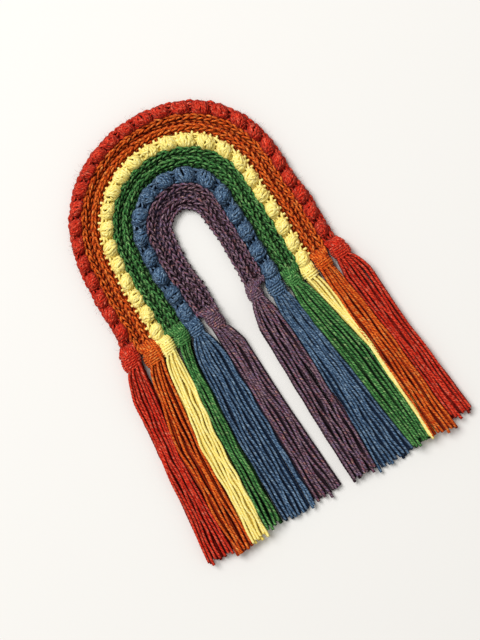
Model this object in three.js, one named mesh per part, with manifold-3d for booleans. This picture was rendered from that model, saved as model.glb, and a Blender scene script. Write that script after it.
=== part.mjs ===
// Crochet rainbow wall hanging, lying face up on a table.
// Six nested bands of medium-weight yarn make the arch: three rows of bobbles and three ribbed bands.
// A tassel of cut yarn is knotted through both ends of each band.
// Millimetres. X runs across the arch, Y from the tassels' tips up to the crown, Z up from the table.
import * as THREE from "three";
import { mergeVertices } from "three/addons/utils/BufferGeometryUtils.js";
import Module from "manifold-3d";

const wasm = await Module();
wasm.setup();

// The arch's plan
const ARCH_X = -2; // the arch's middle
const SPRING_Y = 59.3; // where the straight legs turn into the round crown
const FOOT_Y = 4; // where the legs end
const SEAM_RADIUS = 25; // the seam between the purple and the blue band, round the crown
const LEG_SHARE = 0.3; // the share of the way round the arch that one leg takes
const GAP = 0.3; // between neighbouring pieces

// The crochet's thickness
const EDGE_Z = 3.2; // along both edges of a band
const RIB_Z = 5.8; // on top of a rib
const FURROW_Z = 4.2; // between two ribs
const VALLEY_Z = 4.9; // between two bobbles
const BOBBLE_RISE = 5.1; // how far a bobble stands above its valley
const STEPS_A_BOBBLE = 5;
const STEPS_A_RIBBED_BAND = 36;

// The tassels
const HEAD_Z = 10; // a knot's thickness
const WRAPS = 4; // turns of yarn that show across a knot
const WRAP_GROOVE = 0.1; // how far the knot narrows between two turns
const ROOT_SHARE = 0.74; // share of the knot's width that the strands leave from
const ROOT_DEPTH = 4; // how far the strands reach into the knot
const ROOT_SQUEEZE = 0.72; // the layers of strands lie this much closer at the knot
const STRAND = 2.3; // the yarn's width
const STRAND_Z = 2.2; // the yarn's thickness
const LAYER_Z = 2.45; // from one layer of strands to the next
const STRAND_PITCH = 2.75; // from strand to strand at the tips
const STRAND_FILL = 0.84; // share of its lane that a strand fills where the lanes are narrow
const STRAND_STEPS = 5;
const TUCKED_LAYERS = 2; // the layers, from the table up, that slip under the next tassel
const TIP_UNEVEN = 2; // how far the cut tips stray
const TIP_TURN = 2.4; // spreads that straying over the strands

// The bands, from the outside in. from and to are millimetres outwards from the seam.
// Purple lies inside the seam, and there they are shares of its own width.
const BANDS = [
  { colour: "red", hex: 0xb5361f, from: 40.9, to: 49.6, bobbles: 27 },
  { colour: "orange", hex: 0xa84817, from: 28.7, to: 40.9, bobbles: 0 },
  { colour: "yellow", hex: 0xf1e07f, from: 21.4, to: 28.7, bobbles: 23 },
  { colour: "green", hex: 0x33592f, from: 9, to: 21.4, bobbles: 0 },
  { colour: "blue", hex: 0x40566c, from: 0, to: 9, bobbles: 15 },
  { colour: "purple", hex: 0x523945, from: -1, to: 0, bobbles: 0 },
];
const PURPLE_WIDTH = 15; // typical, for the length of its middle line

// How the lying arch strays from a true one, at even steps from the left foot over the crown to the right:
// the seam's shift outwards, the stretch of the bands outside it, and the purple band's width.
const STRAY = [
  { out: -1.8, stretch: 1.03, purple: 14.5 },
  { out: -1.2, stretch: 0.99, purple: 14.6 },
  { out: 0.7, stretch: 0.96, purple: 14.8 },
  { out: -0.3, stretch: 0.96, purple: 15.2 },
  { out: -0.8, stretch: 0.98, purple: 16 },
  { out: 0, stretch: 0.985, purple: 16.2 },
  { out: 0.6, stretch: 1.05, purple: 16 },
  { out: -0.8, stretch: 0.995, purple: 13.4 },
  { out: 0, stretch: 1.02, purple: 12.2 },
  { out: 0.3, stretch: 1.02, purple: 12.4 },
  { out: 0.8, stretch: 1.02, purple: 13.2 },
];

// The tassels from left to right: where the band ends, the knot's middle, width and lower end, and the
// layers of strands.
const TASSELS = {
  left: [
    { colour: "red", foot: 9, x: -73.6, width: 11, bottom: -3, layers: 3 },
    { colour: "orange", foot: 5, x: -59.8, width: 11.4, bottom: -7, layers: 4 },
    { colour: "yellow", foot: 4.5, x: -49.5, width: 8.4, bottom: -6.5, layers: 4 },
    { colour: "green", foot: 5, x: -39.2, width: 10.4, bottom: -5.5, layers: 4 },
    { colour: "blue", foot: 4.5, x: -28.8, width: 9.6, bottom: -5, layers: 2 },
    { colour: "purple", foot: 5, x: -16, width: 10.5, bottom: -7, layers: 2 },
  ],
  right: [
    { colour: "purple", foot: 5, x: 13.5, width: 10, bottom: -4, layers: 3 },
    { colour: "blue", foot: 2, x: 26.6, width: 11, bottom: -8, layers: 2 },
    { colour: "green", foot: 1, x: 38.4, width: 10.4, bottom: -8, layers: 4 },
    { colour: "yellow", foot: -1.5, x: 48.9, width: 9.6, bottom: -9.5, layers: 4 },
    { colour: "orange", foot: 1, x: 59.6, width: 10.4, bottom: -8.5, layers: 4 },
    { colour: "red", foot: 3, x: 72.2, width: 11.6, bottom: -7.5, layers: 3 },
  ],
};

// The lines that part one tassel's fall from the next, from left to right, at three levels.
// tuck moves the lowest layers' line at the tips, where yellow strands lie under the green and orange ones.
const FALL_Y = { shoulder: -20, waist: -63, tip: -131 };
const FALL = {
  left: [
    { shoulder: -85, waist: -88.5, tip: -95.3, tuck: 0 },
    { shoulder: -70, waist: -76.5, tip: -76.5, tuck: 0 },
    { shoulder: -57.5, waist: -62.5, tip: -64.5, tuck: 0 },
    { shoulder: -46, waist: -50, tip: -53.5, tuck: 0 },
    { shoulder: -39, waist: -41.5, tip: -42, tuck: 0 },
    { shoulder: -20, waist: -19, tip: -18.5, tuck: 0 },
    { shoulder: -6, waist: -4, tip: 1, tuck: 0 },
  ],
  right: [
    { shoulder: 5, waist: 5.5, tip: 8, tuck: 0 },
    { shoulder: 21.5, waist: 24.5, tip: 25.5, tuck: 0 },
    { shoulder: 34, waist: 40.5, tip: 50.5, tuck: 0 },
    { shoulder: 47.5, waist: 57, tip: 62, tuck: -6 },
    { shoulder: 55.5, waist: 60.5, tip: 65, tuck: 6 },
    { shoulder: 66.5, waist: 73.5, tip: 80.5, tuck: 0 },
    { shoulder: 84, waist: 86.5, tip: 95.3, tuck: 0 },
  ],
};

const { lerp, smoothstep } = THREE.MathUtils;

// A section in X and Y, extruded over a unit length in Z in even steps, then with each point put in place
function bentExtrusion(section, steps, place) {
  const shape = new THREE.Shape(section.map(([x, y]) => new THREE.Vector2(x, y)));
  const geometry = new THREE.ExtrudeGeometry(shape, { depth: 1, steps, bevelEnabled: false });
  const points = geometry.getAttribute("position");
  for (let i = 0; i < points.count; i++) {
    const point = place(points.getX(i), points.getY(i), points.getZ(i));
    points.setXYZ(i, point.x, point.y, point.z);
  }
  return geometry;
}

function solidOf(geometry) {
  geometry.deleteAttribute("normal");
  geometry.deleteAttribute("uv");
  const merged = mergeVertices(geometry, 1e-3);
  const vertProperties = merged.getAttribute("position").array;
  const triVerts = new Uint32Array(merged.index.array);
  return new wasm.Manifold(new wasm.Mesh({ numProp: 3, vertProperties, triVerts }));
}

function geometryOf(solid) {
  const { vertProperties, triVerts } = solid.getMesh();
  const geometry = new THREE.BufferGeometry();
  geometry.setAttribute("position", new THREE.BufferAttribute(new Float32Array(vertProperties), 3));
  geometry.setIndex(new THREE.BufferAttribute(new Uint32Array(triVerts), 1));
  geometry.computeVertexNormals();
  return geometry;
}

// One material for each colour of yarn
const yarn = Object.fromEntries(
  BANDS.map(({ colour, hex }) => [
    colour,
    new THREE.MeshStandardMaterial({ name: `${colour}_yarn`, color: hex, roughness: 0.95, metalness: 0 }),
  ]),
);

function piece(name, colour, geometry) {
  const mesh = new THREE.Mesh(geometry, yarn[colour]);
  mesh.name = name;
  return mesh;
}

// The straying at a share of the way round the arch
const strayCurve = new THREE.CatmullRomCurve3(
  STRAY.map((row) => new THREE.Vector3(row.out, row.stretch, row.purple)),
);

function strayAt(round) {
  const row = strayCurve.getPoint(THREE.MathUtils.clamp(round, 0, 1));
  return { out: row.x, stretch: row.y, purple: row.z };
}

// Where a share of a band's own middle line lies: the centre that it turns about, its angle there, and the
// share of the way round the arch.
function station(band, share) {
  const inside = band.from < 0;
  const middle = SEAM_RADIUS + ((band.from + band.to) / 2) * (inside ? PURPLE_WIDTH : 1);
  const leftLeg = SPRING_Y - footOf("left", band.colour);
  const rightLeg = SPRING_Y - footOf("right", band.colour);
  const crown = Math.PI * middle;
  const run = share * (leftLeg + crown + rightLeg);
  const legShare = (y) => (LEG_SHARE * (y - FOOT_Y)) / (SPRING_Y - FOOT_Y);
  if (run < leftLeg) {
    const y = SPRING_Y - leftLeg + run;
    return { y, angle: Math.PI, round: legShare(y) };
  }
  if (run < leftLeg + crown) {
    const turned = (run - leftLeg) / crown;
    return { y: SPRING_Y, angle: Math.PI * (1 - turned), round: lerp(LEG_SHARE, 1 - LEG_SHARE, turned) };
  }
  const y = SPRING_Y - (run - leftLeg - crown);
  return { y, angle: 0, round: 1 - legShare(y) };
}

function footOf(side, colour) {
  return TASSELS[side].find((tassel) => tassel.colour === colour).foot;
}

// A point of a band: across it from its inner edge, 0, to its outer edge, 1, and at a share of its length
function onBand(band, across, z, share) {
  const { y, angle, round } = station(band, share);
  const { out, stretch, purple } = strayAt(round);
  const scale = band.from < 0 ? purple : stretch;
  const inner = out + band.from * scale + GAP / 2;
  const outer = out + band.to * scale - GAP / 2;
  const radius = SEAM_RADIUS + lerp(inner, outer, across);
  return new THREE.Vector3(ARCH_X + radius * Math.cos(angle), y + radius * Math.sin(angle), z);
}

// Two ribs with a furrow between them
const RIBBED_SECTION = [
  [0, 0],
  [1, 0],
  [1, EDGE_Z],
  [0.86, RIB_Z],
  [0.64, RIB_Z],
  [0.5, FURROW_Z],
  [0.36, RIB_Z],
  [0.14, RIB_Z],
  [0, EDGE_Z],
];

function ribbedBand(band) {
  const place = (across, z, share) => onBand(band, across, z, share);
  return bentExtrusion(RIBBED_SECTION, STEPS_A_RIBBED_BAND, place);
}

// A low rounded row that swells into a bobble at every pitch
const BOBBLE_SECTION = [
  [0, 0],
  [1, 0],
  [1, EDGE_Z],
  [0.8, 0.92 * VALLEY_Z],
  [0.5, VALLEY_Z],
  [0.2, 0.92 * VALLEY_Z],
  [0, EDGE_Z],
];

function bobbleBand(band) {
  const place = (across, z, share) => {
    const swell = Math.pow(Math.abs(Math.sin(Math.PI * band.bobbles * share)), 0.6);
    const dome = z > EDGE_Z ? Math.sqrt(Math.sin(Math.PI * across)) : 0;
    return onBand(band, across, z + BOBBLE_RISE * dome * swell, share);
  };
  return bentExtrusion(BOBBLE_SECTION, STEPS_A_BOBBLE * band.bobbles, place);
}

// A knot: a flat-bottomed bundle with turns of yarn across it, rounded off at both ends
const HEAD_SECTION = [
  [-0.36, 0],
  [0.36, 0],
  [0.5, 0.25],
  [0.5, 0.62],
  [0.3, 1],
  [-0.3, 1],
  [-0.5, 0.62],
  [-0.5, 0.25],
];

function knot({ x, width, foot, bottom }) {
  const top = foot - GAP;
  const place = (across, up, share) => {
    const groove = Math.abs(Math.cos(Math.PI * WRAPS * share));
    const girth = 1 - WRAP_GROOVE * groove;
    return new THREE.Vector3(x + across * width * girth, lerp(top, bottom, share), up * HEAD_Z * girth);
  };
  return bentExtrusion(HEAD_SECTION, 2 * WRAPS, place);
}

// The X of a parting line at a height Y, in one layer of strands
function partingX(line, layer, y) {
  const tip = line.tip + (layer < TUCKED_LAYERS ? line.tuck : 0);
  if (y > FALL_Y.waist) {
    const down = (FALL_Y.shoulder - y) / (FALL_Y.shoulder - FALL_Y.waist);
    return lerp(line.shoulder, line.waist, down);
  }
  return lerp(line.waist, tip, (FALL_Y.waist - y) / (FALL_Y.waist - FALL_Y.tip));
}

// The left and right limits of a tassel's strands at a height Y: the knot's root at the top, spreading to
// the parting lines at the shoulder
function limitsAt(tassel, lines, layer, y) {
  const half = (ROOT_SHARE * tassel.width) / 2;
  const root = [tassel.x - half, tassel.x + half];
  const below = Math.min(y, FALL_Y.shoulder);
  const fall = [
    partingX(lines[0], layer, below) + GAP / 2,
    partingX(lines[1], layer, below) - GAP / 2,
  ];
  const spread = THREE.MathUtils.clamp((tassel.bottom - y) / (tassel.bottom - FALL_Y.shoulder), 0, 1);
  return root.map((x, i) => lerp(x, fall[i], spread));
}

// A strand of yarn with three sides and a flat one down
const STRAND_SECTION = [
  [-0.5, 0],
  [0.5, 0],
  [0, 1],
];

function strand(tassel, lines, layer, lane, lanes) {
  const top = tassel.bottom + ROOT_DEPTH;
  const tip = FALL_Y.tip + TIP_UNEVEN * Math.sin(TIP_TURN * (lane + lanes * layer) + tassel.x);
  const place = (across, up, share) => {
    const y = lerp(top, tip, share);
    const [left, right] = limitsAt(tassel, lines, layer, y);
    const laneWidth = (right - left) / lanes;
    const x = left + (lane + 0.5) * laneWidth;
    const squeeze = lerp(ROOT_SQUEEZE, 1, smoothstep(share, 0, 1 / STRAND_STEPS));
    const z = layer * LAYER_Z * squeeze + up * STRAND_Z * squeeze;
    return new THREE.Vector3(x + across * Math.min(STRAND, STRAND_FILL * laneWidth), y, z);
  };
  return bentExtrusion(STRAND_SECTION, STRAND_STEPS, place);
}

function tasselSolid(tassel, lines) {
  let solid = solidOf(knot(tassel));
  for (let layer = 0; layer < tassel.layers; layer++) {
    const [left, right] = limitsAt(tassel, lines, layer, FALL_Y.tip);
    const lanes = Math.max(1, Math.round((right - left) / STRAND_PITCH));
    for (let lane = 0; lane < lanes; lane++) {
      solid = solid.add(solidOf(strand(tassel, lines, layer, lane, lanes)));
    }
  }
  return geometryOf(solid);
}

const arch = new THREE.Group();
for (const band of BANDS) {
  const geometry = band.bobbles ? bobbleBand(band) : ribbedBand(band);
  arch.add(piece(`band_${band.colour}`, band.colour, geometry));
}

const fringe = new THREE.Group();
for (const side of ["left", "right"]) {
  TASSELS[side].forEach((tassel, i) => {
    const lines = FALL[side].slice(i, i + 2);
    fringe.add(piece(`tassel_${tassel.colour}_${side}`, tassel.colour, tasselSolid(tassel, lines)));
  });
}

const hanging = new THREE.Group();
hanging.add(arch, fringe);

export default hanging;
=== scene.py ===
# Crochet rainbow wall hanging, lying face up: six nested bands of yarn, each with a knotted tassel at both
# ends. Sizes are in millimetres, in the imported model's own frame, and become metres when a mesh is made.
import math

import bpy
import numpy as np
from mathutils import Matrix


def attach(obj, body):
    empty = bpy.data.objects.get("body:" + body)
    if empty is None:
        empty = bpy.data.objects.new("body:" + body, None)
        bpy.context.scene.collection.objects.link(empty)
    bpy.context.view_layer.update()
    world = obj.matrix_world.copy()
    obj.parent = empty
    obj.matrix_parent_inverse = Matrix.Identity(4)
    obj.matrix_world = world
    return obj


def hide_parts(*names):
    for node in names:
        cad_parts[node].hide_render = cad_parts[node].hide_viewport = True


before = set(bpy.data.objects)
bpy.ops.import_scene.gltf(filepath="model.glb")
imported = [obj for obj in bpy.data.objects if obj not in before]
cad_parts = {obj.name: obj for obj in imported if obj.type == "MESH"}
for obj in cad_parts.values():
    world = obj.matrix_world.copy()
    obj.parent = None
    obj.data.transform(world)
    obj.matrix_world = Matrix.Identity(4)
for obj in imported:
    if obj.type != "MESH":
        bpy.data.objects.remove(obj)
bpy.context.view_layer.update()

# The arch's ground
# The real arch is one cloth, crocheted row onto row in six colours of medium-weight wool-blend yarn.
# Its lower loops are a felted ground, drawn as a thin sheet of the bands' yarns with painted shade, that
# only shows as dark gaps between the stitches on its face.
MM = 0.001
ARCH_X = -2
SPRING_Y = 59.3
FOOT_Y = 4
SEAM_RADIUS = 25
LEG_SHARE = 0.3
PURPLE_WIDTH = 15
# Each band's inner and outer edge, out from the seam of purple and blue in millimetres, or in purple widths
# for the purple band, the Y of its two feet, and its columns in the ground's mesh
BANDS = {
    "purple": {"from": -1, "to": 0, "left_foot": 5, "right_foot": 5, "columns": 4},
    "blue": {"from": 0, "to": 9, "left_foot": 4.5, "right_foot": 2, "columns": 2},
    "green": {"from": 9, "to": 21.4, "left_foot": 5, "right_foot": 1, "columns": 4},
    "yellow": {"from": 21.4, "to": 28.7, "left_foot": 4.5, "right_foot": -1.5, "columns": 2},
    "orange": {"from": 28.7, "to": 40.9, "left_foot": 5, "right_foot": 1, "columns": 4},
    "red": {"from": 40.9, "to": 49.6, "left_foot": 9, "right_foot": 3, "columns": 2},
}
# How the lying arch strays from a true one, at even steps from the left foot over the crown to the right
# one: the seam's shift outwards, the stretch of the bands outside it, and the purple band's width.
STRAY = [
    (-1.8, 1.03, 14.5),
    (-1.2, 0.99, 14.6),
    (0.7, 0.96, 14.8),
    (-0.3, 0.96, 15.2),
    (-0.8, 0.98, 16),
    (0, 0.985, 16.2),
    (0.6, 1.05, 16),
    (-0.8, 0.995, 13.4),
    (0, 1.02, 12.2),
    (0.3, 1.02, 12.4),
    (0.8, 1.02, 13.2),
]
GROUND_STEPS = 90
GROUND_Z = 1.6
# How much of its own tone the ground keeps under painted shade
GROUND_SHADE_CROWN = 0.4
GROUND_THICKNESS = 1
# The share of the red band's width where the ground stops, inside the last loops
GROUND_END = 0.82
PLIES = 3
MM_A_CM = 10
TUFTS_AROUND = 3
WISP_SIZE = 1.25
WISPS_AROUND = 7
# Radians that the wave texture turns in a unit at a scale of 1
WAVE_RATE = 20
PLY_RELIEF = 0.3
# Each as the pattern's lowest and highest value, and the share of the tufts' own tone that these give: the
# wisps give dark flecks, and the plies and the crown give painted shade
WISP_SHADE = (0.38, 0.59, 0.25, 1)
PLY_SHADE = (0, 0.8, 0.6, 1)
CROWN_SHADE = (0.1, 0.75, 0.12, 1)
rng = np.random.default_rng(11)


def through(rows, shares):
    """A smooth curve through rows of numbers, read at shares of its way from 0 to 1."""
    rows = np.asarray(rows, float)
    place = np.clip(shares, 0, 1) * (len(rows) - 1)
    first = np.clip(np.floor(place).astype(int), 0, len(rows) - 2)
    f = (place - first)[..., None]
    a, b, c, d = (rows[np.clip(first + k, 0, len(rows) - 1)] for k in (-1, 0, 1, 2))
    bend = (2 * a - 5 * b + 4 * c - d) * f**2 + (3 * b - a - 3 * c + d) * f**3
    return b + 0.5 * ((c - a) * f + bend)


def offset_scale(colour, purple, stretch):
    return purple if colour == "purple" else stretch


def row_radius(colour, at):
    """The radius, round the crown, of a row at a share of its band's width from the inner edge."""
    band = BANDS[colour]
    offset = band["from"] + (band["to"] - band["from"]) * at
    return SEAM_RADIUS + offset * offset_scale(colour, PURPLE_WIDTH, 1)


def row_length(colour, at):
    band = BANDS[colour]
    return 2 * SPRING_Y - band["left_foot"] - band["right_foot"] + math.pi * row_radius(colour, at)


def lay(colour, at, run, out, up):
    """Points on a row: run is along it from the left foot, out is away from its middle line, and up is
    from the table."""
    band = BANDS[colour]
    left_leg = SPRING_Y - band["left_foot"]
    crown = math.pi * row_radius(colour, at)
    turned = np.clip((run - left_leg) / crown, 0, 1)
    on_left, on_right = run < left_leg, run > left_leg + crown
    y = np.where(on_left, band["left_foot"] + run, SPRING_Y)
    y = np.where(on_right, SPRING_Y - (run - left_leg - crown), y)
    leg_share = LEG_SHARE * (y - FOOT_Y) / (SPRING_Y - FOOT_Y)
    round_share = LEG_SHARE + (1 - 2 * LEG_SHARE) * turned
    round_share = np.where(on_left, leg_share, np.where(on_right, 1 - leg_share, round_share))
    stray = through(STRAY, round_share)
    shift, stretch, purple = stray[..., 0], stray[..., 1], stray[..., 2]
    scale = offset_scale(colour, purple, stretch)
    middle = shift + scale * (band["from"] + (band["to"] - band["from"]) * at)
    radius = SEAM_RADIUS + middle + out * scale / offset_scale(colour, PURPLE_WIDTH, 1)
    angle = math.pi * (1 - turned)
    x = ARCH_X + radius * np.cos(angle)
    return np.stack([x, y + radius * np.sin(angle), np.broadcast_to(up, x.shape)], axis=-1)


def linear(hex_colour):
    """An sRGB hex colour as linear RGBA."""
    parts = [int(hex_colour[i : i + 2], 16) / 255 for i in (1, 3, 5)]
    return [p / 12.92 if p <= 0.04045 else ((p + 0.055) / 1.055) ** 2.4 for p in parts] + [1]


def add_node(tree, kind, links=(), **settings):
    """A node with its settings, and links into it as (its input, another node, that node's output)."""
    node = tree.nodes.new(kind)
    for key, value in settings.items():
        if key in node.inputs:
            node.inputs[key].default_value = value
        else:
            setattr(node, key, value)
    for socket, source, output in links:
        tree.links.new(source.outputs[output], node.inputs[socket])
    return node


def yarn_material(name, shade_and_fleck_tone, tones, tuft_size=3.0):
    """Spun wool-blend yarn: matt, with a little haze where fibres stand off it, flecked by fibres of several
    tones, with painted shade in the grooves between its plies, on flanks that its neighbours shade and, for
    some pieces, where it lies low. Its map runs along the yarn in centimetres and once around."""
    material = bpy.data.materials.new(name)
    material.use_nodes = True
    tree = material.node_tree
    tree.nodes.clear()
    place = add_node(tree, "ShaderNodeTexCoord")
    # Dyed tufts, their length in mm
    tuft_scale = (MM_A_CM / tuft_size, TUFTS_AROUND, 1)
    tuft_map = add_node(tree, "ShaderNodeMapping", [("Vector", place, "UV")], Scale=tuft_scale)
    tuft = add_node(tree, "ShaderNodeTexNoise", [("Vector", tuft_map, "Vector")], Scale=1.0, Detail=1.0)
    ramp = add_node(tree, "ShaderNodeValToRGB", [("Fac", tuft, "Fac")])
    stops = ramp.color_ramp.elements
    while len(stops) < len(tones):
        stops.new(0.5)
    for stop, (position, tone) in zip(stops, tones):
        stop.position = position
        stop.color = linear(tone)
    # Wisps of fibre, which are finer on real yarn and drawn as coarse as they need to be to show
    wisp_scale = (MM_A_CM / WISP_SIZE, WISPS_AROUND, 1)
    wisp_map = add_node(tree, "ShaderNodeMapping", [("Vector", place, "UV")], Scale=wisp_scale)
    wisp = add_node(tree, "ShaderNodeTexNoise", [("Vector", wisp_map, "Vector")], Scale=1.0, Detail=2.0)
    # Three plies around the yarn, painted darker in the grooves between them as shade
    ply = add_node(
        tree,
        "ShaderNodeTexWave",
        [("Vector", place, "UV")],
        bands_direction="Y",
        Scale=PLIES * 2 * math.pi / WAVE_RATE,
    )
    ply.inputs["Phase Offset"].default_value = math.pi
    # Painted shade on the yarn's flanks and low places, which its neighbours shade, read from the crown
    # attribute
    crown = add_node(tree, "ShaderNodeAttribute", attribute_name="crown")
    shades = []
    for pattern, limits in ((wisp, WISP_SHADE), (ply, PLY_SHADE), (crown, CROWN_SHADE)):
        ends = dict(zip(("From Min", "From Max", "To Min", "To Max"), limits))
        shades.append(add_node(tree, "ShaderNodeMapRange", [("Value", pattern, "Fac")], **ends))
    shade = shades[0]
    for other in shades[1:]:
        factors = [(0, shade, 0), (1, other, "Result")]
        shade = add_node(tree, "ShaderNodeMath", factors, operation="MULTIPLY")
    # The tufts' tone mixed toward the dark tone by the flecks and by painted shade
    flecked_and_shaded = add_node(tree, "ShaderNodeMix", [("Factor", shade, "Value")], data_type="RGBA")
    flecked_and_shaded.inputs[6].default_value = linear(shade_and_fleck_tone)
    tree.links.new(ramp.outputs["Color"], flecked_and_shaded.inputs[7])
    relief = [("Height", shade, "Value")]
    bump = add_node(tree, "ShaderNodeBump", relief, Strength=0.4, Distance=PLY_RELIEF * MM)
    finish = [("Base Color", flecked_and_shaded, 2), ("Normal", bump, "Normal")]
    shader = add_node(tree, "ShaderNodeBsdfPrincipled", finish)
    shader.inputs["Roughness"].default_value = 0.92
    shader.inputs["Specular IOR Level"].default_value = 0.15
    shader.inputs["Sheen Weight"].default_value = 0.06
    shader.inputs["Sheen Roughness"].default_value = 0.5
    add_node(tree, "ShaderNodeOutputMaterial", [("Surface", shader, "BSDF")])
    return material


# Each yarn's tone for painted shade, which also colours its darkest flecks, and its tufts from dark to pale.
# All but the yellow are heathered.
YARNS = {
    "purple": yarn_material(
        "heathered_purple_wool",
        "#22141d",
        [
            (0.3, "#584452"),
            (0.4, "#94727e"),
            (0.47, "#b8999e"),
            (0.54, "#807296"),
            (0.62, "#a8646a"),
            (0.72, "#cdaea0"),
        ],
        tuft_size=5.0,
    ),
    "blue": yarn_material(
        "heathered_blue_wool",
        "#12213a",
        [(0.3, "#44617f"), (0.45, "#6b89a6"), (0.58, "#88a3bc"), (0.75, "#adc4d6")],
    ),
    "green": yarn_material(
        "heathered_green_wool",
        "#0d2a10",
        [(0.3, "#387842"), (0.45, "#62a25c"), (0.58, "#7eb870"), (0.75, "#bcd894")],
    ),
    "yellow": yarn_material(
        "plain_yellow_wool",
        "#ecd26a",
        [(0.3, "#ffef96"), (0.5, "#fff7aa"), (0.7, "#fffcca")],
    ),
    "orange": yarn_material(
        "heathered_orange_wool",
        "#861f08",
        [(0.3, "#d8561a"), (0.45, "#f67c2e"), (0.58, "#ff9440"), (0.75, "#ffba6e")],
    ),
    "red": yarn_material(
        "heathered_red_wool",
        "#6c0906",
        [(0.3, "#d22e17"), (0.45, "#f04c33"), (0.58, "#f86446"), (0.75, "#ff9a82")],
    ),
}

bpy.ops.object.select_all(action="DESELECT")
columns = [
    (colour, k / band["columns"])
    for colour, band in BANDS.items()
    for k in range(band["columns"])
] + [("red", GROUND_END)]
bpy.ops.mesh.primitive_grid_add(x_subdivisions=len(columns) - 1, y_subdivisions=GROUND_STEPS, size=1)
ground = bpy.context.object
ground.name = "crochet_ground"
ground.data.name = "crochet_ground"
for vertex in ground.data.vertices:
    colour, at = columns[round((vertex.co.x + 0.5) * (len(columns) - 1))]
    run = (vertex.co.y + 0.5) * row_length(colour, at)
    vertex.co = lay(colour, at, np.array(run), 0, GROUND_Z) * MM
for colour in BANDS:
    ground.data.materials.append(YARNS[colour])
for face in ground.data.polygons:
    column = min(face.index % (len(columns) - 1), len(columns) - 2)
    face.material_index = list(BANDS).index(columns[column][0])
    face.use_smooth = True
# Painted shade over the whole ground: its crown is held low, so it takes much of the yarns' shade tone
crown = ground.data.attributes.new("crown", "FLOAT", "POINT")
crown.data.foreach_set("value", np.full(len(ground.data.vertices), GROUND_SHADE_CROWN, np.float32))
solidify = ground.modifiers.new("thickness", "SOLIDIFY")
solidify.thickness = GROUND_THICKNESS * MM
solidify.offset = 0
bpy.ops.object.modifier_apply(modifier=solidify.name)

# Purple ribs
# The innermost band is two rows of tight single crochet in heathered purple yarn.
# Each row shows a bold ridge on its outer side and finer slanting limbs inside it.
YARN_TURN = 7
# How far apart, in centimetres, yarns may start on their map, so that their tufts differ
MAP_SHIFT = 40
PLY_PROFILE = (1, 0.8, 1, 0.8, 1, 0.8)
FUZZ_PROFILE = (1, 1, 1)
# Loose fibres: their radii at foot, knee and tip, the longest that they get, and the shares of it that
# they have. Then their foot as a share of the yarn's radius, their knee as a share of their length, how
# much they rise, turn square to the yarn and curl, and how low they may lie.
FUZZ_YARN = np.array([0.06, 0.045, 0.015])
FUZZ_REACH = 2.5
FUZZ_LENGTH = (0.4, 1)
FUZZ_FOOT = 0.7
FUZZ_KNEE = 0.55
FUZZ_RISE = 0.6
FUZZ_SQUARE = 0.7
FUZZ_CURL = 0.5
FUZZ_LOWEST = 0.1
# Fibres on each stitch of a row and of an edge
RIDGE_FUZZ = 2
EDGE_FUZZ = 5
STITCH_PITCH = 4.2
RIB_WIDTH = 6.2
# Ways of yarn in a stitch: run, out and up from the stitch's middle on the row's middle line
RIDGE = [(-2.6, 2.9, 3.9), (-1.3, 2.8, 5.3), (0, 2.5, 5.8), (1.3, 2.1, 5.3), (2.6, 1.5, 3.9)]
MIDDLE_LIMB = [(-2.5, 0.1, 3.4), (-1.3, 0.3, 4.8), (0, 0.6, 5.3), (1.3, 1, 4.9), (2.5, 1.5, 3.6)]
LOWER_LIMB = [(-1.9, -0.7, 2.2), (-1, -0.8, 3.1), (0, -1, 3.5), (1, -1.2, 3.1), (1.9, -1.6, 2)]
POST = [(-0.6, -3.3, 1.4), (-0.4, -2.9, 2.2), (0, -2.4, 2.7), (0.4, -1.9, 2.7), (0.6, -1.3, 2.2)]
BACK_LOOP = [(-2.8, -1, 1.3), (-1.4, 0.8, 1.3), (0.2, 1.5, 1.3), (1.7, 0.6, 1.3), (2.8, -1, 1.3)]
LIMB_RINGS = 8
RIDGE_YARN = 0.95
LIMB_YARN = 0.82
BACK_YARN = 0.75
RIB_ROWS = (0.25, 0.75)
STITCH_STRAY = 0.24
# The share of a stray that lifts the yarn
STRAY_UP = 0.6
LIMB_TURN = 0.15
# Heights between which a stitch's upper side goes from full painted shade in the furrows to its own tone
FURROW_SHADE_HEIGHTS = (1.8, 4.4)
EDGE_LOOP = [(-2.8, -0.9, 2.4), (-1.4, -0.1, 4.0), (0, 0.1, 4.5), (1.4, -0.2, 4.0), (2.8, -1, 2.4)]


def unit(vectors):
    return vectors / np.maximum(np.linalg.norm(vectors, axis=-1, keepdims=True), 1e-9)


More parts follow.
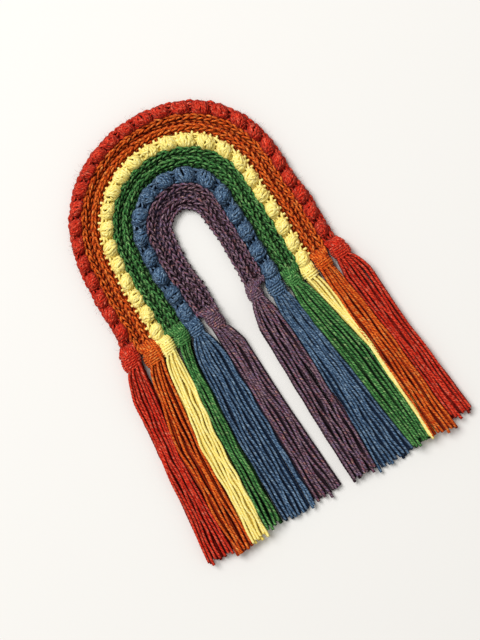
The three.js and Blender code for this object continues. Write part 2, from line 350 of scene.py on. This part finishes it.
def spin(paths, radius, profile=PLY_PROFILE, outward=(0, 0, 1), one_faced=False, shade_depths=None):
    """Yarns as a batch of tubes: paths has a row of points for each yarn, and the profile's plies twist
    along it. Gives points, the corners of each face, how many corners each face has, a map place for each
    corner, and each point's crown, which sets its painted shade. That is 1, unshaded, where the point faces
    outward, or inward unless the yarn is one-faced, 0, fully shaded, on the yarn's flanks, and less where an
    outward face lies low between the two shade depths."""
    paths = np.asarray(paths, float)
    yarns, rings, _ = paths.shape
    sides = len(profile)
    ahead = unit(np.gradient(paths, axis=1))
    upright = np.where(np.abs(ahead[:, 0, 2:]) < 0.9, [[0.0, 0.0, 1.0]], [[1.0, 0.0, 0.0]])
    across = np.empty_like(paths)
    last = upright
    for i in range(rings):
        last = unit(last - (last * ahead[:, i]).sum(-1, keepdims=True) * ahead[:, i])
        across[:, i] = last
    beside = np.cross(ahead, across)
    steps = np.linalg.norm(np.diff(paths, axis=1), axis=-1)
    length = np.concatenate([np.zeros((yarns, 1)), np.cumsum(steps, axis=1)], axis=1)
    start = rng.uniform(0, 1, (yarns, 1))
    angle = 2 * math.pi * (np.arange(sides) / sides + (start - length / YARN_TURN)[..., None])
    reach = np.broadcast_to(radius, (yarns, rings))[..., None] * np.asarray(profile)
    spokes = np.cos(angle)[..., None] * across[:, :, None]
    spokes = spokes + np.sin(angle)[..., None] * beside[:, :, None]
    points = (paths[:, :, None] + reach[..., None] * spokes).reshape(-1, 3)
    facing = np.broadcast_to(outward, paths.shape)[:, :, None]
    faced = (spokes * facing).sum(-1).ravel()
    # Painted shade: the crown falls on the yarn's flanks, and on outward faces that lie low between the
    # shade depths
    crown = np.maximum(faced, 0) if one_faced else np.abs(faced)
    if shade_depths is not None:
        crown = crown * np.where(faced > 0, np.interp(points[:, 2], shade_depths, (0, 1)), 1)
    index = np.arange(yarns * rings * sides).reshape(yarns, rings, sides)
    turned = np.roll(index, -1, axis=2)
    walls = np.stack([index[:, :-1], turned[:, :-1], turned[:, 1:], index[:, 1:]], axis=-1)
    walls = walls.reshape(-1, 4)
    ends = np.concatenate([index[:, 0, ::-1], index[:, -1]])
    along = length / MM_A_CM + MAP_SHIFT * start
    low, high = along[:, :-1, None], along[:, 1:, None]
    around = np.arange(sides) / sides
    beyond = around + 1 / sides
    wall_map = np.empty((yarns, rings - 1, sides, 4, 2))
    wall_map[..., 0] = np.stack(np.broadcast_arrays(low, low, high, high), axis=-1)
    wall_map[..., 1] = np.stack([around, beyond, beyond, around], axis=-1)
    end_map = np.empty((2 * yarns, sides, 2))
    end_map[..., 0] = np.concatenate([along[:, :1], along[:, -1:]])
    end_map[..., 1] = around
    corners = np.concatenate([walls.ravel(), ends.ravel()])
    counts = np.concatenate([np.full(len(walls), 4), np.full(len(ends), sides)])
    places = np.concatenate([wall_map.reshape(-1, 2), end_map.reshape(-1, 2)])
    return points, corners, counts, places, crown


def fuzz(paths, radius, count, reach=FUZZ_REACH):
    """Loose fibres that stand off a batch of yarns, each a curved needle."""
    paths = np.asarray(paths, float)
    yarn = rng.integers(0, paths.shape[0], count)
    ring = rng.integers(1, paths.shape[1] - 1, count)
    ahead = unit(paths[yarn, ring + 1] - paths[yarn, ring - 1])
    away = unit(rng.normal(size=(count, 3)) + [0, 0, FUZZ_RISE])
    away = unit(away - FUZZ_SQUARE * (away * ahead).sum(-1, keepdims=True) * ahead)
    foot = paths[yarn, ring] + FUZZ_FOOT * radius * away
    size = rng.uniform(*FUZZ_LENGTH, (count, 1)) * reach
    tip = foot + size * unit(away + rng.normal(0, FUZZ_CURL, (count, 3)))
    knee = foot + FUZZ_KNEE * size * away
    needles = np.stack([foot, knee, tip], axis=1)
    needles[..., 2] = np.maximum(needles[..., 2], FUZZ_LOWEST)
    return spin(needles, FUZZ_YARN, FUZZ_PROFILE)


def yarn_piece(name, batches, material):
    """One mesh of all the batches of yarn, riding with the hanging."""
    points = np.concatenate([b[0] for b in batches])
    shifts = np.cumsum([0] + [len(b[0]) for b in batches[:-1]])
    corners = np.concatenate([b[1] + shift for b, shift in zip(batches, shifts)])
    counts = np.concatenate([b[2] for b in batches])
    places = np.concatenate([b[3] for b in batches])
    mesh = bpy.data.meshes.new(name)
    mesh.vertices.add(len(points))
    mesh.vertices.foreach_set("co", (points * MM).astype(np.float32).ravel())
    mesh.loops.add(len(corners))
    mesh.loops.foreach_set("vertex_index", corners.astype(np.int32))
    mesh.polygons.add(len(counts))
    starts = np.concatenate([[0], np.cumsum(counts)[:-1]])
    mesh.polygons.foreach_set("loop_start", starts.astype(np.int32))
    mesh.polygons.foreach_set("loop_total", counts.astype(np.int32))
    mesh.polygons.foreach_set("use_smooth", np.ones(len(counts), bool))
    uv = mesh.uv_layers.new(name="along_yarn")
    uv.data.foreach_set("uv", places.astype(np.float32).ravel())
    # Each point's crown, which sets its painted shade in the yarn material
    crown = mesh.attributes.new("crown", "FLOAT", "POINT")
    crown.data.foreach_set("value", np.concatenate([b[4] for b in batches]).astype(np.float32))
    mesh.update(calc_edges=True)
    mesh.validate()
    mesh.materials.append(material)
    piece = bpy.data.objects.new(name, mesh)
    bpy.context.collection.objects.link(piece)
    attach(piece, "root")
    return piece


def limb_paths(colour, at, runs, way, widen=1, lift=0, shift=0):
    """The same way of yarn at every stitch of a row, a little uneven."""
    way = through(way, np.linspace(0, 1, LIMB_RINGS))
    stray = rng.normal(0, STITCH_STRAY, (len(runs), 1, 3))
    turn = rng.uniform(-LIMB_TURN, LIMB_TURN, (len(runs), 1))
    run = np.asarray(runs)[:, None] + way[:, 0] + stray[..., 0]
    out = widen * way[:, 1] + shift + turn * way[:, 0] + stray[..., 1]
    up = way[:, 2] + lift + STRAY_UP * stray[..., 2]
    return lay(colour, at, run, out, up)


def stitch_runs(colour, at):
    length = row_length(colour, at)
    count = round(length / STITCH_PITCH)
    return (np.arange(count) + 0.5) * length / count


def band_width(colour):
    band = BANDS[colour]
    return (band["to"] - band["from"]) * offset_scale(colour, PURPLE_WIDTH, 1)


def stitch_row(colour, at, runs, widen, lift=0, shift=0):
    """Single crochet: a bold ridge on the row's outer side, two lines of lower limbs that slant against each
    other, short posts down into the row before, and loops on the back."""
    ridge = limb_paths(colour, at, runs, RIDGE, widen, lift, shift)
    limb_ways = (MIDDLE_LIMB, LOWER_LIMB, POST)
    limbs = [limb_paths(colour, at, runs, way, widen, lift, shift) for way in limb_ways]
    return [
        spin(ridge, RIDGE_YARN, shade_depths=FURROW_SHADE_HEIGHTS),
        spin(np.concatenate(limbs), LIMB_YARN, shade_depths=FURROW_SHADE_HEIGHTS),
        spin(limb_paths(colour, at, runs, BACK_LOOP, widen), BACK_YARN),
        fuzz(ridge, RIDGE_YARN, RIDGE_FUZZ * len(runs)),
    ]


def ribbed_band(colour):
    widen = band_width(colour) / 2 / RIB_WIDTH
    batches = []
    for at in RIB_ROWS:
        batches += stitch_row(colour, at, stitch_runs(colour, at), widen)
    return batches


def edge_row(colour, at, side, out, lift=0, fuzz_reach=FUZZ_REACH):
    """A chain of loops along one edge of a band, out from a row's middle line."""
    runs = stitch_runs(colour, at)
    paths = limb_paths(colour, at, runs, EDGE_LOOP, side, lift, side * out)
    return [
        spin(paths, RIDGE_YARN, shade_depths=FURROW_SHADE_HEIGHTS),
        fuzz(paths, RIDGE_YARN, EDGE_FUZZ * len(runs), fuzz_reach),
    ]


purple_batches = ribbed_band("purple") + edge_row("purple", 0.25, -1, out=3, fuzz_reach=0.8)
purple_ribs = yarn_piece("purple_ribs", purple_batches, YARNS["purple"])
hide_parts("band_purple")

# Blue bobbles
# The second band is one row of bobbles in heathered blue yarn, with a plain stitch between neighbours.
# A bobble is a tuft of posts drawn together at both edges of the row, so that it bulges like a small
# pumpkin, with short loops of the same yarn over it.
BLUE_BOBBLES = 15
BOBBLE_POSTS = 11
BOBBLE_RINGS = 12
BOBBLE_FAN = math.radians(84)
BOBBLE_BASE_Z = 2.4
BOBBLE_RISE = 6.6
# The power that rounds a bobble from edge to edge, fuller than a circle below 1
BOBBLE_ROUND = 0.55
BOBBLE_SLANT = 1.1
BOBBLE_YARN = 1.12
BOBBLE_STRAY = 0.25
BOBBLE_SWELL = (0.94, 1.03)
POST_SWELL = 0.03
POST_STRAY = 0.06
POST_SWAY = 0.1
BOBBLE_FUZZ = 10
BOBBLE_LOOPS = 14
LOOP_FAN = 1
LOOP_LEAN = 0.95
LOOP_REACH = 0.36
LOOP_SLANT = (0.1, 0.35)
LOOP_SWELL = 1.09
LOOP_TUCK = 0.16
LOOP_YARN = 0.78
LOOP_RINGS = 6
VALLEY_WIDEN = 0.85
EDGE_INSET = 0.95
EDGE_LIFT = -0.4
# A little over a full turn, in radians, for a random start
ANY_START = 6.3


def bobble_way(colour, bobble, fan, lean, swell=1.0):
    """Points on bobbles: fan is a post's angle off upright along the row, lean the angle across it."""
    run, half_length, half_width, shift = bobble
    bulge = np.clip(np.cos(lean), 0, 1) ** BOBBLE_ROUND
    along = run + half_length * np.sin(fan) * bulge * swell - BOBBLE_SLANT * np.sin(lean)
    up = BOBBLE_BASE_Z + BOBBLE_RISE * np.cos(fan) * bulge * swell
    return lay(colour, 0.5, along, shift + half_width * np.sin(lean) * swell, up)


def bobble_band(colour, middles, pitch, plump, half_width, shift=0, valley_lift=-0.5):
    """Bobbles at the given runs, plump as a share of their pitch, with a plain stitch in each valley between
    them and a chain of loops along both edges."""
    count = len(middles)
    sizes = (plump * pitch, half_width, shift)
    fans = np.linspace(-BOBBLE_FAN, BOBBLE_FAN, BOBBLE_POSTS)
    fan = np.tile(fans, count) + rng.normal(0, POST_STRAY, count * BOBBLE_POSTS)
    run = np.repeat(middles + rng.normal(0, BOBBLE_STRAY, count), BOBBLE_POSTS)
    swell = np.repeat(rng.uniform(*BOBBLE_SWELL, count), BOBBLE_POSTS)
    swell = swell + rng.normal(0, POST_SWELL, len(run))
    lean = np.linspace(-0.5, 0.5, BOBBLE_RINGS) * math.pi
    sway = POST_SWAY * np.sin(2 * lean[None] + rng.uniform(0, ANY_START, (len(run), 1)))
    posts = bobble_way(colour, (run[:, None], *sizes), fan[:, None] + sway, lean[None], swell[:, None])
    loops = count * BOBBLE_LOOPS
    loop_fan = rng.uniform(-LOOP_FAN, LOOP_FAN, loops)
    loop_lean = rng.uniform(-LOOP_LEAN, LOOP_LEAN, loops)
    slant = rng.uniform(*LOOP_SLANT, loops) * rng.choice([-1, 1], loops)
    share = np.linspace(-1, 1, LOOP_RINGS)
    wraps = bobble_way(
        colour,
        (np.repeat(middles, BOBBLE_LOOPS)[:, None], *sizes),
        loop_fan[:, None] + slant[:, None] * share,
        loop_lean[:, None] + LOOP_REACH * share,
        (LOOP_SWELL - LOOP_TUCK * share**2)[None],
    )
    valleys = np.concatenate([middles - pitch / 2, middles[-1:] + pitch / 2])
    valley_widen = VALLEY_WIDEN * half_width / (RIB_WIDTH / 2)
    return [
        spin(posts, BOBBLE_YARN, shade_depths=FURROW_SHADE_HEIGHTS),
        spin(wraps, LOOP_YARN),
        fuzz(posts, BOBBLE_YARN, BOBBLE_FUZZ * count),
        *stitch_row(colour, 0.5, valleys, valley_widen, valley_lift, shift),
        *edge_row(colour, 0.5, -1, half_width - EDGE_INSET - shift, EDGE_LIFT),
        *edge_row(colour, 0.5, 1, half_width - EDGE_INSET + shift, EDGE_LIFT),
    ]


def even_runs(colour, count, first=0.5):
    """Even places along a band and the pitch between them, the first at a share of the pitch."""
    pitch = row_length(colour, 0.5) / count
    return (np.arange(count - round(2 * first) + 1) + first) * pitch, pitch


blue_bobbles = yarn_piece(
    "blue_bobbles",
    bobble_band("blue", *even_runs("blue", BLUE_BOBBLES), plump=0.41, half_width=4.4),
    YARNS["blue"],
)
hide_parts("band_blue")

# Green ribs
# The third band is again two rows of single crochet, in heathered green yarn.
# It is worked into the outer edge of the blue row.
green_ribs = yarn_piece("green_ribs", ribbed_band("green"), YARNS["green"])
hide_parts("band_green")

# Yellow bobbles
# The fourth band is a row of bobbles in plain pale yellow yarn.
# The tips of its loops show as small pegs between the first stitches of the orange band.
YELLOW_BOBBLES = 23
PEG = [(0, 2.6, 4.2), (0, 3.8, 5.2), (0, 4.5, 5.3), (0, 5, 5)]
PEG_YARN = 0.95
PEG_STRAY = 0.7
PEG_FUZZ_REACH = 2


def edge_pegs(colour):
    """Short pegs that stand out from a bobble band's outer edge."""
    runs = stitch_runs(colour, 0.5)[1:-1]
    paths = limb_paths(colour, 0.5, runs + rng.normal(0, PEG_STRAY, len(runs)), PEG)
    return [spin(paths, PEG_YARN), fuzz(paths, PEG_YARN, len(paths), PEG_FUZZ_REACH)]


yellow_runs = even_runs("yellow", YELLOW_BOBBLES)
yellow_batches = bobble_band("yellow", *yellow_runs, plump=0.44, half_width=3.8, valley_lift=0.4)
yellow_batches += edge_pegs("yellow")
yellow_bobbles = yarn_piece("yellow_bobbles", yellow_batches, YARNS["yellow"])
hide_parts("band_yellow")

# Orange ribs
# The fifth band is two rows of single crochet in heathered orange yarn.
# It is worked into the yellow loops and carries the red row.
orange_ribs = yarn_piece("orange_ribs", ribbed_band("orange"), YARNS["orange"])
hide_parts("band_orange")

# Red bobbles
# The outermost band is a row of bobbles in heathered red yarn.
# Its last loops make a chain along the arch's outer edge.
RED_PITCHES = 27

red_runs = even_runs("red", RED_PITCHES, first=1)
red_batches = bobble_band("red", *red_runs, plump=0.425, half_width=3.5, shift=-0.7)
red_batches += edge_row("red", 0.5, 1, out=3.2, lift=-0.5, fuzz_reach=5)
red_bobbles = yarn_piece("red_bobbles", red_batches, YARNS["red"])
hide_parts("band_red")

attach(ground, "root")

# Tassels
# Each is a bundle of cut yarn drawn through the stitches at a band's end and bound by tight turns of yarn.
# The strands fan out below the knot and lie in loose layers, with unevenly cut tips.
# X of each knot's middle, its width, Y at its bottom and at the strands' tips, and its layers of strands
TASSELS = {
    "left": [
        {"colour": "red", "x": -73.4, "width": 12.2, "bottom": -3, "tip": -130, "layers": 3},
        {"colour": "orange", "x": -60, "width": 12.6, "bottom": -7, "tip": -133, "layers": 4},
        {"colour": "yellow", "x": -49.5, "width": 9.6, "bottom": -6.5, "tip": -131, "layers": 4},
        {"colour": "green", "x": -39.2, "width": 10.4, "bottom": -5.5, "tip": -128.5, "layers": 4},
        {"colour": "blue", "x": -28.8, "width": 9.6, "bottom": -5, "tip": -130.5, "layers": 2},
        {"colour": "purple", "x": -16, "width": 10.5, "bottom": -7, "tip": -129, "layers": 2},
    ],
    "right": [
        {"colour": "purple", "x": 13.5, "width": 10, "bottom": -4, "tip": -129.5, "layers": 3},
        {"colour": "blue", "x": 26.6, "width": 11, "bottom": -8, "tip": -131.5, "layers": 2},
        {"colour": "green", "x": 38.4, "width": 10.4, "bottom": -8, "tip": -129, "layers": 4},
        {"colour": "yellow", "x": 48.9, "width": 9.6, "bottom": -9.5, "tip": -128.5, "layers": 4},
        {"colour": "orange", "x": 59.6, "width": 10.4, "bottom": -8.5, "tip": -130.5, "layers": 4},
        {"colour": "red", "x": 72.2, "width": 11.6, "bottom": -7.5, "tip": -126.5, "layers": 3},
    ],
}
# The lines that part one tassel's fall from the next, from left to right: X at the shoulder, waist and
# tips, and how far the lowest layers' line moves at the tips.
FALL_Y = (-20, -63, -131)
FALL = {
    "left": [
        (-85, -88.5, -95.3, 0),
        (-70, -76.5, -76.5, 0),
        (-57.5, -62.5, -64.5, 0),
        (-46, -50, -53.5, 0),
        (-39, -41.5, -42, 0),
        (-20, -19, -18.5, 0),
        (-6, -4, 1, 0),
    ],
    "right": [
        (5, 5.5, 8, 0),
        (21.5, 24.5, 25.5, 0),
        (34, 40.5, 50.5, 0),
        (47.5, 58.5, 63.1, -6),
        (55.5, 59.9, 64.2, 6),
        (66.5, 73.5, 80.5, 0),
        (84, 86.5, 95.3, 0),
    ],
}
TUCKED_LAYERS = 2
LOWEST_PITCH = 1.8
STRAND_PITCH = {"yellow": 2.05, "other": 2.65}
STRAND_YARN = 1.05
STRAND_RINGS = 120
STRAND_FUZZ = 12
LAYER_Z = 2.0
ROOT_SHARE = 0.74
ROOT_INSET = 2
TIP_STRAY = 1.2
LANE_STRAY = 0.12
LANE_EDGE = 0.03
FLARE = 0.6
# How far strands sway sideways in long and in short waves and lift off the layer below, and the limits of
# those waves' lengths
LONG_SWAY = 0.45
LONG_WAVE = (45, 95)
SHORT_SWAY = 0.25
SHORT_WAVE = (18, 30)
STRAND_LIFT = 0.4
LIFT_WAVE = (30, 60)
LOWEST_TIP_Y = -134
SETTLE = 24
# Layers are spread over the knot's height: how many layers up the lowest lies there, how many layers more
# than the tassel has make up that height, and how much lower every other strand lies
ROOT_RISE = 0.8
ROOT_ROOM = 0.4
ROOT_DIP = 1.8
# Layers down from a tassel's top at which its strands have full painted shade, and none
STRAND_SHADE = (1.3, -0.15)
KNOT_Z = 9.6
KNOT_YARN = 0.88
KNOT_PITCH = 1.5
KNOT_GIRTH = 1.17
KNOT_TAPER = 0.05
KNOT_BULGE = 0.3
KNOT_LUMP = 0.015
KNOT_LUMPS_A_TURN = 7
KNOT_SLANT = 0.4
# How far inside the knot's two ends its first and last turns lie
KNOT_INSET = (1.2, 0.6)
KNOT_RINGS_A_TURN = 26
KNOT_LEAN = 1.3
KNOT_FUZZ = 60
KNOT_FUZZ_REACH = 2
GATHER_YARNS = 8
GATHER_YARN = 1
GATHER_RINGS = 9
# Where the gathered stitches start: how far up the band, over what share of its width, and how high
GATHER_START = (3.5, 0.9, 3.5)
# Where they end: how far below the band's end, over what share of the knot, how high at its sides, and how
# much higher in its middle
GATHER_END = (1.5, 0.42, 4.5, 3)
GATHER_ARCH = 1.4


def smooth_step(values):
    share = np.clip(values, 0, 1)
    return share * share * (3 - 2 * share)


def fall_limits(tassel, lines, layer, y):
    """The left and right limits of a tassel's strands at heights y."""
    limits = []
    for side, line in zip((-1, 1), lines):
        tip = line[2] + (line[3] if layer < TUCKED_LAYERS else 0)
        fall = np.interp(-y, [-level for level in FALL_Y], [line[0], line[1], tip])
        root = tassel["x"] + side * ROOT_SHARE * tassel["width"] / 2
        spread = (tassel["bottom"] - y) / (tassel["bottom"] - FALL_Y[0])
        limits.append(root + (fall - root) * np.clip(spread, 0, 1) ** FLARE)
    return limits


def wave_along(y, lengths):
    """A wave of a random length and start."""
    return np.sin(2 * math.pi * y / rng.uniform(*lengths) + rng.uniform(0, ANY_START))


def strand_paths(tassel, lines, layer):
    """The strands of one layer of a tassel, counted up from the table."""
    paths = []
    left, right = fall_limits(tassel, lines, layer, np.array(FALL_Y, float))
    pitch = STRAND_PITCH.get(tassel["colour"], STRAND_PITCH["other"]) if layer else LOWEST_PITCH
    lanes = max(1, round(float((right - left).max()) / pitch))
    for lane in range(lanes):
        tip = max(LOWEST_TIP_Y, tassel["tip"] + rng.normal(0, TIP_STRAY))
        y = np.linspace(tassel["foot"] - ROOT_INSET, tip, STRAND_RINGS)
        left, right = fall_limits(tassel, lines, layer, y)
        place = (lane + 0.5 + rng.normal(0, LANE_STRAY)) / lanes
        place = np.clip(place, LANE_EDGE, 1 - LANE_EDGE)
        below = (tassel["bottom"] - y) / SETTLE
        wave = rng.normal(0, LONG_SWAY) * wave_along(y, LONG_WAVE)
        wave += rng.normal(0, SHORT_SWAY) * wave_along(y, SHORT_WAVE)
        x = left + place * (right - left) + wave * smooth_step(below) * (layer > 0)
        root_z = KNOT_Z * (layer + ROOT_RISE) / (tassel["layers"] + ROOT_ROOM) - ROOT_DIP * (lane % 2)
        rest_z = STRAND_YARN + LAYER_Z * layer
        lift = STRAND_LIFT * wave_along(y, LIFT_WAVE) * (layer > 0)
        z = root_z + (rest_z + lift - root_z) * smooth_step(below)
        paths.append(np.stack([x, y, np.maximum(z, STRAND_YARN)], axis=-1))
    return np.array(paths)


def knot_paths(tassel, lines):
    """The binding yarn, wound down round the bundle in slightly slanting turns that lean the way the strands
    fall, and the way outward at each of its points."""
    top, bottom = tassel["foot"] - KNOT_INSET[0], tassel["bottom"] + KNOT_INSET[1]
    turns = round((top - bottom) / KNOT_PITCH)
    share = np.linspace(0, 1, turns * KNOT_RINGS_A_TURN)
    angle = 2 * math.pi * turns * share
    girth = KNOT_GIRTH - KNOT_TAPER * share - KNOT_BULGE * (2 * share - 1) ** 2
    girth = girth + KNOT_LUMP * np.sin(KNOT_LUMPS_A_TURN * angle)
    shoulder = (lines[0][0] + lines[1][0]) / 2
    lean = KNOT_LEAN * (shoulder - tassel["x"]) / (tassel["foot"] - FALL_Y[0])
    y = top + (bottom - top) * share - KNOT_SLANT * np.sin(angle)
    x = tassel["x"] + lean * ((top + bottom) / 2 - y)
    x += (tassel["width"] / 2 - KNOT_YARN) * girth * np.cos(angle)
    z = KNOT_Z / 2 + (KNOT_Z / 2 - KNOT_YARN) * girth * np.sin(angle)
    z = np.maximum(z, KNOT_YARN)
    outward = np.stack([np.cos(angle), np.zeros_like(angle), np.sin(angle)], axis=-1)
    return np.stack([x, y, z], axis=-1)[None], outward


def gather_paths(tassel, side):
    """The last stitches of the band, drawn in towards the knot."""
    share = np.linspace(0, 1, GATHER_RINGS)
    spread = np.linspace(-1, 1, GATHER_YARNS)
    band_half = band_width(tassel["colour"]) / 2
    length = row_length(tassel["colour"], 0.5)
    start_run, start_share, start_z = GATHER_START
    run = np.full(GATHER_YARNS, start_run if side == "left" else length - start_run)
    start = lay(tassel["colour"], 0.5, run, start_share * band_half * spread, start_z)
    if side == "right":
        start = start[::-1]
    drop, end_share, end_z, end_rise = GATHER_END
    end_x = tassel["x"] - end_share * tassel["width"] * spread
    end_y = np.full(GATHER_YARNS, tassel["foot"] - drop)
    end = np.stack([end_x, end_y, end_z + end_rise * (1 - spread**2)], axis=-1)
    paths = start[:, None] + (end - start)[:, None] * smooth_step(share)[None, :, None]
    paths[..., 2] += GATHER_ARCH * np.sin(math.pi * share)
    return paths


for side, tassels in TASSELS.items():
    for number, tassel in enumerate(tassels):
        colour = tassel["colour"]
        tassel["foot"] = BANDS[colour][f"{side}_foot"]
        lines = FALL[side][number : number + 2]
        lowest, *upper = [strand_paths(tassel, lines, layer) for layer in range(tassel["layers"])]
        strands = np.concatenate(upper)
        # Heights over which painted shade deepens on the lower layers of strands
        strand_depths = LAYER_Z * (tassel["layers"] - np.array(STRAND_SHADE))
        knot, outward = knot_paths(tassel, lines)
        gather = gather_paths(tassel, side)
        # Painted shade: the lowest layer of strands is shaded on its upper side, lower layers darker, and
        # the knot's turns on their flanks
        batches = [
            spin(lowest, STRAND_YARN, outward=(0, 0, -1), one_faced=True),
            spin(strands, STRAND_YARN, shade_depths=strand_depths),
            spin(knot, KNOT_YARN, outward=outward),
            spin(gather, GATHER_YARN),
            fuzz(strands, STRAND_YARN, STRAND_FUZZ * len(strands)),
            fuzz(knot, KNOT_YARN, KNOT_FUZZ, KNOT_FUZZ_REACH),
        ]
        name = f"{colour}_tassel_{side}"
        piece = yarn_piece(name, batches, YARNS[colour])
        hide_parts(f"tassel_{colour}_{side}")

# Table, light and camera
# The hanging lies on a plain pale table, lit softly from the upper left and seen from straight above.
FLOOR_SIZE = 3
TABLE_Z = -0.2
VIEW_TURN = math.radians(-30)
VIEW_X = -2.7
VIEW_Y = -8.7
VIEW_HEIGHT = 800
FRAME_HEIGHT = 396.8
SENSOR = 36

bpy.ops.mesh.primitive_plane_add(size=FLOOR_SIZE, location=(0, 0, TABLE_Z * MM))
table = bpy.context.object
table.name = "table"
paper = bpy.data.materials.new("matt_white_paper")
paper.use_nodes = True
paper_shader = paper.node_tree.nodes["Principled BSDF"]
paper_shader.inputs["Base Color"].default_value = linear("#ebe9e5")
paper_shader.inputs["Roughness"].default_value = 0.95
paper_shader.inputs["Specular IOR Level"].default_value = 0.1
table.data.materials.append(paper)

world = bpy.data.worlds.new("soft_room")
bpy.context.scene.world = world
world.use_nodes = True
world.node_tree.nodes["Background"].inputs["Color"].default_value = (1, 0.995, 0.985, 1)
world.node_tree.nodes["Background"].inputs["Strength"].default_value = 0.4

key = bpy.data.lights.new("window", "AREA")
key.shape = "DISK"
key.size = 2
key.energy = 86
window = bpy.data.objects.new("window", key)
window.location = (-0.9, 1.8, 2.7)
window.rotation_euler = (-window.location).to_track_quat("-Z", "Y").to_euler()
bpy.context.collection.objects.link(window)

camera_data = bpy.data.cameras.new("camera")
camera_data.sensor_fit = "VERTICAL"
camera_data.sensor_height = SENSOR
camera_data.lens = SENSOR * VIEW_HEIGHT / FRAME_HEIGHT
camera = bpy.data.objects.new("camera", camera_data)
camera.location = (VIEW_X * MM, VIEW_Y * MM, VIEW_HEIGHT * MM)
camera.rotation_euler = (0, 0, VIEW_TURN)
bpy.context.collection.objects.link(camera)
bpy.context.scene.camera = camera
bpy.context.scene.view_settings.view_transform = "Standard"
bpy.context.scene.view_settings.look = "Medium High Contrast"
